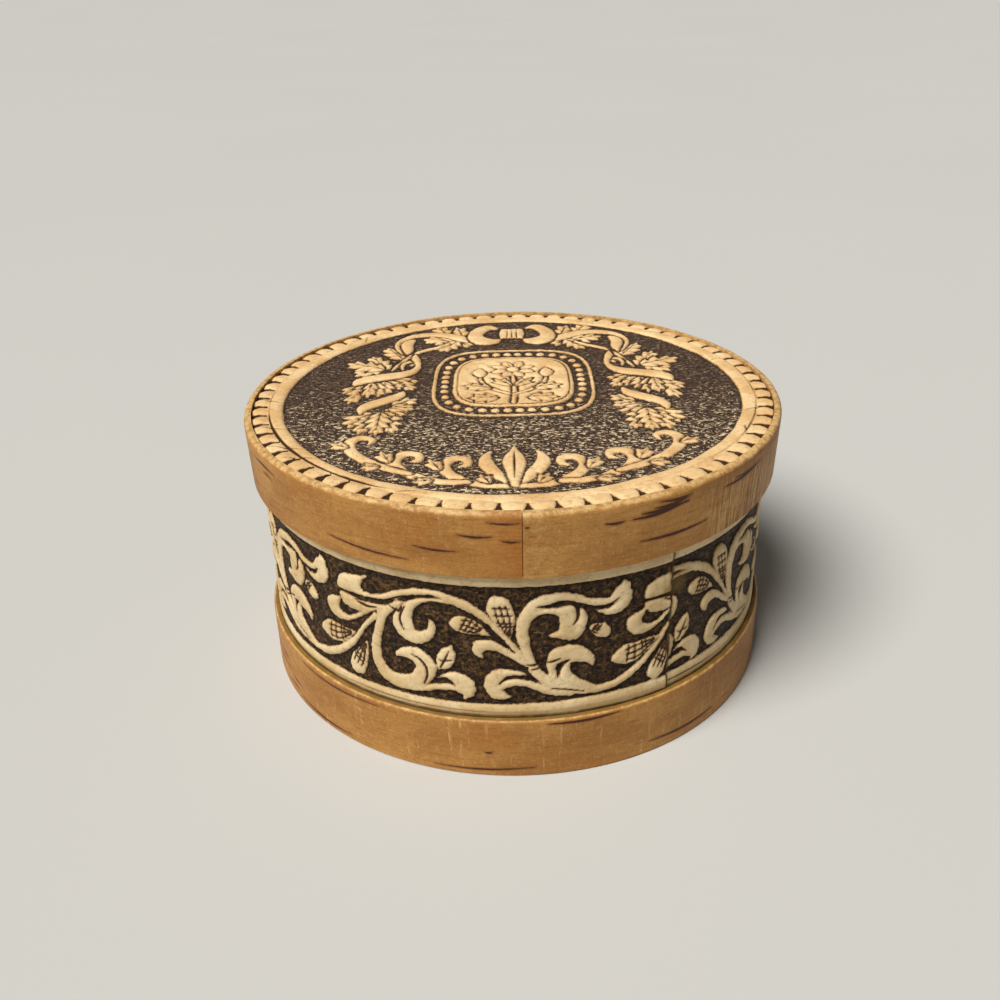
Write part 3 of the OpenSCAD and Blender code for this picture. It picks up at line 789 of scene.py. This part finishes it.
flourishLeaves = [
    (13.6, -37, 16, -32, 2.8, 1), (23, -33.4, 25.2, -28.2, 3, 1), (31.4, -26.8, 35.4, -24.4, 2.8, 1),
    (14.6, -41, 18.8, -41.6, 2.6, 1), (24.6, -35, 28.6, -35.2, 2.8, 1), (4.6, -42.6, 6.6, -38.4, 2.4, 1),
]
bowKnot = [
    (-2.7, 42.1), (0, 41.6), (2.7, 42.1), (3.1, 38.5), (2.7, 34.7),
    (1.4, 35.2), (0, 34.9), (-1.4, 35.2), (-2.7, 34.7), (-3.1, 38.5),
]
# cracks and scratches over the borders: turn and radius of both ends
cracks = [
    (-88, 53, -85.2, 47.6), (-72, 52.8, -67.8, 47.6), (-60.5, 52.6, -55, 47.6), (-54, 52.4, -48.8, 47.6),
    (78.5, 52.6, 75, 47.8), (63, 49.8, 66, 48.9), (110.5, 50.5, 110.6, 47.6), (-137, 50.5, -134, 48),
    (158, 52, 160, 48.4), (-24, 49.6, -20, 48.2),
]
# a plain tablet in the middle of the lid: rounded frame with a ring of beads, and a field that
# starts this far inside it with a sprig. The higher the power, the squarer the frame
tablet = {
    "x": 0.4, "y": 6.8, "halfWide": 17.3, "halfHigh": 19.6, "power": 3.6,
    "frame": 0.42, "beads": 38, "bead": 0.95, "field": 4.4,
}
sprig = {
    "stem": [(0, -12.4, 0.55), (0.3, -6, 0.5), (0, 3, 0.45)],
    "branch": [(0, -8, 0.4), (3.6, -5.4, 0.5), (6.6, -0.8, 0.45), (7.2, 3, 0.3)],
    "bud": [(7.2, 3.2, 0.8), (7.3, 5, 1.5), (7.2, 7.6, 0.2)],
    "leaves": [(3, -9.6, 9.4, -9.8, 4.4, 2), (4.6, -4.4, 10.4, -2.6, 3.8, 2), (0.4, -3, 4.4, 1.6, 2.8, 1)],
    "petals": 8, "flower": 7, "heart": 1.35,
}


def leafOutline(start, tip, width, lobes):
    # a pointed leaf with toothed lobes that lean towards its tip
    axis = tip - start
    across = np.array([-axis[1], axis[0]]) / np.hypot(*axis)

    def reach(s):
        return width / 2 * math.sin(math.pi * min(s, 1) ** 0.72) ** 0.8 if s > 0 else 0

    half = [(0.0, 0.1)]  # rows of the share of the length, and the distance from the midrib
    for k in range(lobes):
        s0, s1 = k / (lobes + 0.6), (k + 1) / (lobes + 0.6)
        half += [(s0 + 0.3 * (s1 - s0), 0.8 * reach(s0 + 0.35 * (s1 - s0))),
                 (s0 + 1.08 * (s1 - s0), 1.3 * reach(s0 + 0.7 * (s1 - s0))), (s1, 0.5 * reach(s1))]
    half.append((0.5 * (1 + half[-1][0]), 0.75 * half[-1][1]))
    right = [start + s * axis + w * across for s, w in half]
    left = [start + s * axis - w * across for s, w in half]
    return right + [tip] + left[::-1]


def addLeaf(sheet, leaf, gap=0.36):
    # a leaf with its midrib and a pair of veins in each lobe
    x0, y0, x1, y1, width, lobes = leaf
    start, tip = np.array([x0, y0]), np.array([x1, y1])
    raiseShape(sheet, outlineDepth(sheet, leafOutline(start, tip, width, lobes)), gap)
    dx, dy = tip - start

    def at(s, half, aside=0.0):
        return x0 + s * dx - aside * dy, y0 + s * dy + aside * dx, half

    cutStroke(sheet, [at(0, 0.12), at(0.45, 0.16), at(0.8, 0.05)], 0.8)
    for k in range(lobes):
        s = (k + 0.35) / (lobes + 0.6)
        for way in (-1, 1):
            cutStroke(sheet, [at(s, 0.1), at(s + 0.26, 0.02, 0.27 * width * way / math.hypot(dx, dy))], 0.6)


def mirrored(points):
    return [(2 * panel["mirror"] - x, *rest) for x, *rest in points]


def mirroredLeaf(leaf):
    x0, y0, x1, *rest = leaf
    return (2 * panel["mirror"] - x0, y0, 2 * panel["mirror"] - x1, *rest)


def addTablet(sheet):
    c = SimpleNamespace(**tablet)
    part, (x, y) = window(sheet, [(-20, -16), (21, 30)])
    px, py = np.abs((x - c.x) / c.halfWide), np.abs((y - c.y) / c.halfHigh)
    depth = (1 - (px ** c.power + py ** c.power) ** (1 / c.power)) * c.halfWide
    raiseShape(sheet, (part, np.minimum(depth, 2 * c.frame - depth)))
    raiseShape(sheet, (part, depth - c.field))
    cutShape(sheet, (part, 0.17 - np.abs(depth - c.field - 0.9)))
    middle = 1 - (c.field / 2 + 0.45) / c.halfWide
    for k in range(c.beads):
        ca, sa = math.cos(turn * k / c.beads), math.sin(turn * k / c.beads)
        scale = (abs(ca) ** c.power + abs(sa) ** c.power) ** (-1 / c.power)
        raiseDot(sheet, c.x + c.halfWide * middle * ca * scale, c.y + c.halfHigh * middle * sa * scale, c.bead)

    def placed(points, way=1):
        return [(c.x + way * x, c.y + y, half) for x, y, half in points]

    raiseStroke(sheet, placed(sprig["stem"]), 0.35)
    for way in (-1, 1):
        raiseStroke(sheet, placed(sprig["branch"], way), 0.3)
        for x0, y0, x1, y1, width, lobes in sprig["leaves"]:
            addLeaf(sheet, (c.x + way * x0, c.y + y0, c.x + way * x1, c.y + y1, width, lobes), 0.32)
        raiseStroke(sheet, placed(sprig["bud"], way), 0.32)
    for k in range(sprig["petals"]):
        a = turn * (k + 0.5) / sprig["petals"]

        def spoke(*points):
            return placed([(r * math.cos(a), sprig["flower"] + r * math.sin(a), half) for r, half in points])

        raiseStroke(sheet, spoke((1.2, 0.4), (3, 1.15), (4.3, 0.7)), 0.28)
        cutStroke(sheet, spoke((1.8, 0.12), (3.2, 0.05)), 0.5)
    raiseDot(sheet, c.x, c.y + sprig["flower"], sprig["heart"], 0.3)


def lidSheet():
    sheet = newSheet(-54, 54, -54, 54, 0.2)
    for a0, r0, a1, r1 in cracks:
        (x0, y0, _), (x1, y1, _) = place(a0, np.float64(r0), 0), place(a1, np.float64(r1), 0)
        cutStroke(sheet, [(x0, y0, 0.05), ((x0 + x1) / 2, (y0 + y1) / 2 + 0.15, 0.17), (x1, y1, 0.08)], 0.6)
    for flip in (False, True):
        for leaf in leaves:
            addLeaf(sheet, mirroredLeaf(leaf) if flip else leaf)
        for points in [*ribbons.values(), *flourish.values()]:
            raiseStroke(sheet, mirrored(points) if flip else points, 0.4)
        for leaf in flourishLeaves:
            addLeaf(sheet, mirroredLeaf(leaf) if flip else leaf)
    middle = panel["mirror"]

    def upright(*points, x=0.0):
        return [(middle + x, y, half) for y, half in points]

    # the palmette between the scrolls, and the knot of the bow
    raiseStroke(sheet, upright((-43.4, 0.7), (-38.5, 1.5), (-33.5, 2.2), (-29.6, 1), (-26.6, 0.1)), 0.3)
    cutStroke(sheet, upright((-41, 0.12), (-34, 0.2), (-29, 0.05)), 0.6)
    raiseShape(sheet, outlineDepth(sheet, [(middle + x, y) for x, y in bowKnot]), 0.3)
    for x in (-1.2, 0, 1.2):
        cutStroke(sheet, [(middle + x, 41, 0.05), (middle + x * 0.9, 38, 0.14), (middle + x, 35.3, 0.16)], 0.6)
    addTablet(sheet)
    return sheet


def ropeNotches(about, signed, radius, ropeIn):
    # how deep a place lies inside a notch of the rope border, its share of the way across the
    # border, and how far the notches are broad bars there
    even, each = about.copy(), turn / panel["notches"]
    for _ in range(6):
        # they lie a little wider apart at the front than at the back
        even = about - math.radians(panel["spread"]) * np.sin(even)
    which = np.round(even / each - 0.5)
    wobble = np.random.default_rng(45).uniform(-1, 1, (4, panel["notches"]))
    aside, wider, shorter, flare = wobble[:, which.astype(int) % panel["notches"]]
    far, side, across = np.abs(signed), np.sign(signed), radius - ropeIn
    front, back = smooth((55 - far) / 40), smooth((far - 80) / 30)
    deep = np.minimum(across / (panel["edge"] - 0.6 * front - ropeIn), 1)
    # at the sides each notch is a broad bar with a shoulder, at the front a wedge on a stalk
    bar = smooth((far - 16) / 18) * smooth((118 - far) / 30)
    bar = np.where(signed > 0, 0.85 * bar * smooth((signed - 36) / 18), bar)
    off = (even - (which + 0.5) * each) * radius + 0.25 * aside * (1 - deep) * (1 - bar)
    off += side * 0.35 * bar * (1 - deep)
    stalk = 0.21 + 0.33 * bar * (0.6 + 0.4 * np.clip(deep * 2, 0, 1)) + 0.16 * back + 0.07 * wider
    stalk *= smooth((across - (0.1 + (0.3 + 0.25 * shorter) * (1 - np.maximum(bar, back)))) / 0.35)
    stalk = np.where(stalk < 0.02, -1, stalk)
    wedge = np.clip((deep - 0.42 + 0.2 * back) / (0.58 + 0.2 * back), 0, 1) ** 1.2
    shoulder = np.where(off * side < 0, 1 + 0.5 * bar, 1 - 0.8 * bar) * (1 - 0.15 * back)
    half = stalk + wedge * (0.6 + 0.15 * front + 0.12 * flare) * shoulder
    return half - np.abs(off), deep, bar


def ringFaces(starts, counts):
    # a fan in the middle, then ring after ring, with twice the points where a ring asks for it
    faces = [[1 + j, 1 + (j + 1) % counts[0], 0] for j in range(counts[0])]
    for s0, n0, s1, n1 in zip(starts, counts, starts[1:], counts[1:]):
        for j in range(n0):
            a, b = s0 + j, s0 + (j + 1) % n0
            if n1 == n0:
                faces.append([a, s1 + j, s1 + (j + 1) % n1, b])
            else:
                c, d, e = s1 + 2 * j, s1 + 2 * j + 1, s1 + (2 * j + 2) % n1
                faces += [[a, c, d], [a, d, b], [b, d, e]]
    return faces


def makePanel(finish):
    p = SimpleNamespace(**panel)
    sheet = lidSheet()
    print("drew the lid's ornament", sheet["edge"].shape)
    inner = np.arange(p.step, p.ground - 0.6, p.step)
    radii = np.concatenate([inner, np.linspace(inner[-1] + 0.3, p.ground + 0.45, 4),
                            np.linspace(48.2, p.edge - 0.15, 25), [p.edge]])
    counts = np.select([radii > 30, radii > 15, radii > 7.5, radii > 3], [1008, 504, 252, 126], 63)
    radius = np.concatenate([[0], np.repeat(radii, counts)])
    angle = np.concatenate([[0]] + [np.arange(count) * 360 / count for count in counts])
    x, y = place(angle, radius, 0)[:, :2].T

    # the ground's rim and the line were drawn a little off the disc's centre
    edge, cut = readSheet(sheet, x, y)
    about, signed = np.radians(angle), (angle + 180) % 360 - 180
    far, drift = np.abs(signed), -np.cos(about)
    ragged = 0.16 * softNoise(x, y, 0.7, 41) + 0.12 * softNoise(x, y, 2.1, 42)
    edge = np.maximum(edge + ragged, radius - p.ground - 0.4 * drift + 0.25 * softNoise(x, y, 3.5, 43))
    edge = np.clip(edge, -1.5, 1.5)
    line = p.line + np.where(drift > 0, 0.4, 1.05) * drift
    strong = smooth((-22 - signed) / 14) * smooth((82 + signed) / 20) + 0.45 * smooth((far - 50) / 20)
    cut = np.maximum(cut, p.lineHalf * (strong - 0.2) + 0.12 * softNoise(x, y, 4, 44) - np.abs(radius - line))
    ropeIn = line + 0.12
    notch, deep, bar = ropeNotches(about, signed, radius, ropeIn)
    # painted shade in the gap beside the hoop, stronger where the notches are broad bars
    gapShade = 0.2 * bar - 0.06 + 0.1 * softNoise(x, y, 3, 49) - np.abs(radius - p.edge + 0.05)
    cut = np.maximum.reduce([cut, notch, gapShade])

    height = carvedHeight(edge, np.where(radius > ropeIn, -1, cut))
    ground = 0.3 * softNoise(x, y * 1.5, 0.95, 46) + 0.2 * softNoise(x, y, 2.1, 47)
    sunk = p.relief * (1 - height) - ground * (1 - height) * 0.55
    sunk += np.abs(0.1 * softNoise(x, y, 1.6, 48)) * height
    crown = p.crown * (2 * deep - 1) ** 2 + 0.2 * smooth(1 + notch / 1.2)
    rope = crown + (p.relief - crown) * smooth((notch + 0.12) / 0.3)
    top = np.stack([x, y, p.top - np.maximum(np.where(radius > ropeIn, rope, sunk), 0.0)], 1)

    # down the edge to the flat underside
    starts = 1 + np.cumsum(counts) - counts
    last, low, count = starts[-1], len(top), counts[-1]
    skirt = top[last:] * (1, 1, 0) + (0, 0, p.under)
    points = np.vstack([top, skirt])
    faces = ringFaces(starts, counts)
    rounded = len(faces)
    faces += [[last + j, low + j, low + (j + 1) % count, last + (j + 1) % count] for j in range(count)]
    faces.append([low + j for j in range(count)][::-1])
    print("lid panel", len(faces), "faces")
    none = np.zeros(len(points))
    # the ground's painted highlight specks grow in share towards the front, where the light falls
    return newPiece("lidPanel", points, faces, finish, flat=rounded, bark=points,
                    edge=np.append(edge, np.full(count, 1.5)),
                    cut=np.append(np.clip(cut, -1, 1), np.full(count, -1)),
                    glue=none, rub=none, soot=none, speck=smooth((12 - points[:, 1]) / 34))


panelPiece = makePanel(embossedFinish("embossedLidBark", lidLook, (1.15, 2.3), 0.58))
joinFrame(panelPiece, "lid", ["lid_top_panel"])

woods = {"light": (224, 190, 140), "dark": (196, 152, 98), "line": (158, 112, 66)}


def boardFinish(name, look):
    finish, t = newFinish(name, look)
    where = t.onPiece()
    rings = t.noise(t.stretched(where, 60, 420, 60), 1, 5, 0.6, 0.5)
    broad = t.noise(t.stretched(where, 14, 60, 20), 1)
    pores = t.noise(t.stretched(where, 260, 1900, 300), 1, 2, 0.5)
    colour = t.layered(
        t.between(t.ramp(broad, 0.35, 0.65), "light", "dark"),
        (t.ramp(rings, 0.5, 0.75, 0, 0.55), "line"),
        (t.ramp(pores, 0.62, 0.75, 0, 0.4), "line"))
    normal = t.bump(t.plus(rings, pores), 0.3, 0.0001)
    t.finishWith(colour, t.ramp(rings, 0.3, 0.8, 0.55, 0.72), normal, 0.25)
    return finish


def liningFinish(name, look, onEdge=False):
    # the fibres run along X, or round the strip where the bark stands on its edge
    finish, t = newFinish(name, look)
    where = t.onPiece()

    def fibred(along, across, *noise):
        scale = (along, along, across) if onEdge else (along, across, along)
        return t.noise(t.stretched(where, *scale), 1, *noise)

    fibres = fibred(110, 2200, 4, 0.6)
    colour = t.layered(
        t.between(t.ramp(fibred(35, 60), 0.35, 0.65), "light", "dark"),
        (t.ramp(fibres, 0.5, 0.72, 0, 0.5), "streak"),
        (t.ramp(fibred(90, 900, 2, 0.4), 0.69, 0.73), "lenticel"))
    t.finishWith(colour, t.ramp(fibres, 0.3, 0.75, 0.5, 0.65), t.bump(fibres, 0.3, 0.0001), 0.3)
    return finish


boardWood = boardFinish("boardWood", woods)
liningBark = liningFinish("liningBark", plainBark)
ringBark = liningFinish("ringBark", plainBark, True)
for name, finish in (("bottom_board", boardWood), ("lid_board", boardWood), ("bottom_lining", liningBark),
                     ("lid_lining", liningBark), ("lid_inner_ring", ringBark)):
    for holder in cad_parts[name].material_slots:
        holder.material = finish
print("finishes done")

# floor, backdrop, sky and sun, in metres
stage = {
    "floor": (196, 195, 191), "floorPatch": (200, 196, 190), "size": 60.0,
    "wallFoot": (205, 203, 195), "wallTop": (196, 198, 197), "radius": 7.9, "high": 5.0, "sides": 96,
    "sky": (1.0, 0.97, 0.92), "skyStrength": 0.09, "horizonStrength": 0.42, "horizonHigh": 0.22,
    "sunFrom": (-0.52, -0.55, 1.05), "sunStrength": 4.3, "sunSoftness": 30, "sunColour": (1.0, 0.985, 0.95),
}


def makeFloor():
    half = stage["size"] / 2
    finish, t = newFinish("paleFloor", stage)
    soft = t.noise(t.onPiece(), 3, 2)
    colour = t.between(t.times(soft, 0.1), "floor", "floorPatch")
    t.finishWith(colour, t.ramp(soft, 0.3, 0.7, 0.6, 0.66), t.bump(soft, 0.02, 0.001), 0.2)
    corners = [(-half, -half, 0), (half, -half, 0), (half, half, 0), (-half, half, 0)]
    floor = addMesh("floor", corners, [(0, 1, 2, 3)], finish)


def makeBackWall():
    # a far round wall that only the camera sees, so it neither lights nor shades the box
    radius, high, sides = stage["radius"], stage["high"], stage["sides"]
    turns = [turn * i / sides for i in range(sides)]
    corners = [(radius * math.sin(a), radius * math.cos(a), z) for z in (0, high) for a in turns]
    faces = [(i, (i + 1) % sides, (i + 1) % sides + sides, i + sides) for i in range(sides)]
    finish, t = newFinish("paleWall", stage)
    upward = t.ramp(t.put("SeparateXYZ", {0: t.onPiece()}).outputs[2], 0, high)
    glow = t.put("Emission", {"Color": t.between(upward, "wallFoot", "wallTop")})
    tree = finish.node_tree
    tree.links.new(glow.outputs[0], tree.nodes["Material Output"].inputs["Surface"])
    backWall = addMesh("backWall", corners, faces, finish)
    for ray in ("diffuse", "glossy", "transmission", "volume_scatter", "shadow"):
        setattr(backWall, "visible_" + ray, False)


def makeWorld():
    world = bpy.data.worlds.new("softRoom")
    bpy.context.scene.world = world
    world.use_nodes = True
    tree = world.node_tree
    # paler towards the horizon, like the foot of a studio wall
    parts = putNode(tree, "SeparateXYZ", {0: putNode(tree, "TexCoord").outputs["Generated"]})
    fade = putNode(tree, "MapRange", {
        "Value": parts.outputs["Z"], "From Min": 0.0, "From Max": stage["horizonHigh"],
        "To Min": stage["horizonStrength"], "To Max": stage["skyStrength"]}, interpolation_type="SMOOTHSTEP")
    background = tree.nodes["Background"]
    background.inputs["Color"].default_value = stage["sky"] + (1,)
    tree.links.new(fade.outputs["Result"], background.inputs["Strength"])


def makeSun():
    light = bpy.data.lights.new("windowLight", "SUN")
    light.energy = stage["sunStrength"]
    light.angle = math.radians(stage["sunSoftness"])
    light.color = stage["sunColour"]
    lamp = addObject("windowLight", light)
    lamp.rotation_euler = (-Vector(stage["sunFrom"])).to_track_quat("-Z", "Y").to_euler()


# focal length in pixels of a 1000 px picture, angles in radians, and the camera's place in units
# of the lid's radius, unit
lens = {
    "focal": 1035.74, "pitch": 0.4799, "yaw": -0.0146, "roll": -0.025,
    "back": 3.6901, "up": 2.4745, "unit": 0.055, "picture": 1000, "sensor": 36,
}


def makeCamera():
    data = bpy.data.cameras.new("camera")
    data.sensor_width = lens["sensor"]
    data.lens = lens["focal"] / lens["picture"] * lens["sensor"]
    data.clip_start = 0.01
    yaw, pitch, roll = lens["yaw"], lens["pitch"], lens["roll"]
    ahead = Vector((math.sin(yaw) * math.cos(pitch), math.cos(yaw) * math.cos(pitch), -math.sin(pitch)))
    right = Vector((math.cos(yaw), -math.sin(yaw), 0))
    upward = right.cross(ahead)
    axisX = math.cos(roll) * right + math.sin(roll) * upward
    axisY = -math.sin(roll) * right + math.cos(roll) * upward
    spin = Matrix((axisX, axisY, -ahead)).transposed().to_4x4()
    camera = addObject("camera", data)
    eye = (0, -lens["back"] * lens["unit"], lens["up"] * lens["unit"])
    camera.matrix_world = Matrix.Translation(eye) @ spin
    bpy.context.scene.camera = camera


makeFloor()
makeBackWall()
makeWorld()
makeSun()
makeCamera()
bpy.context.scene.view_settings.view_transform = "Standard"
bpy.context.scene.view_settings.look = "None"
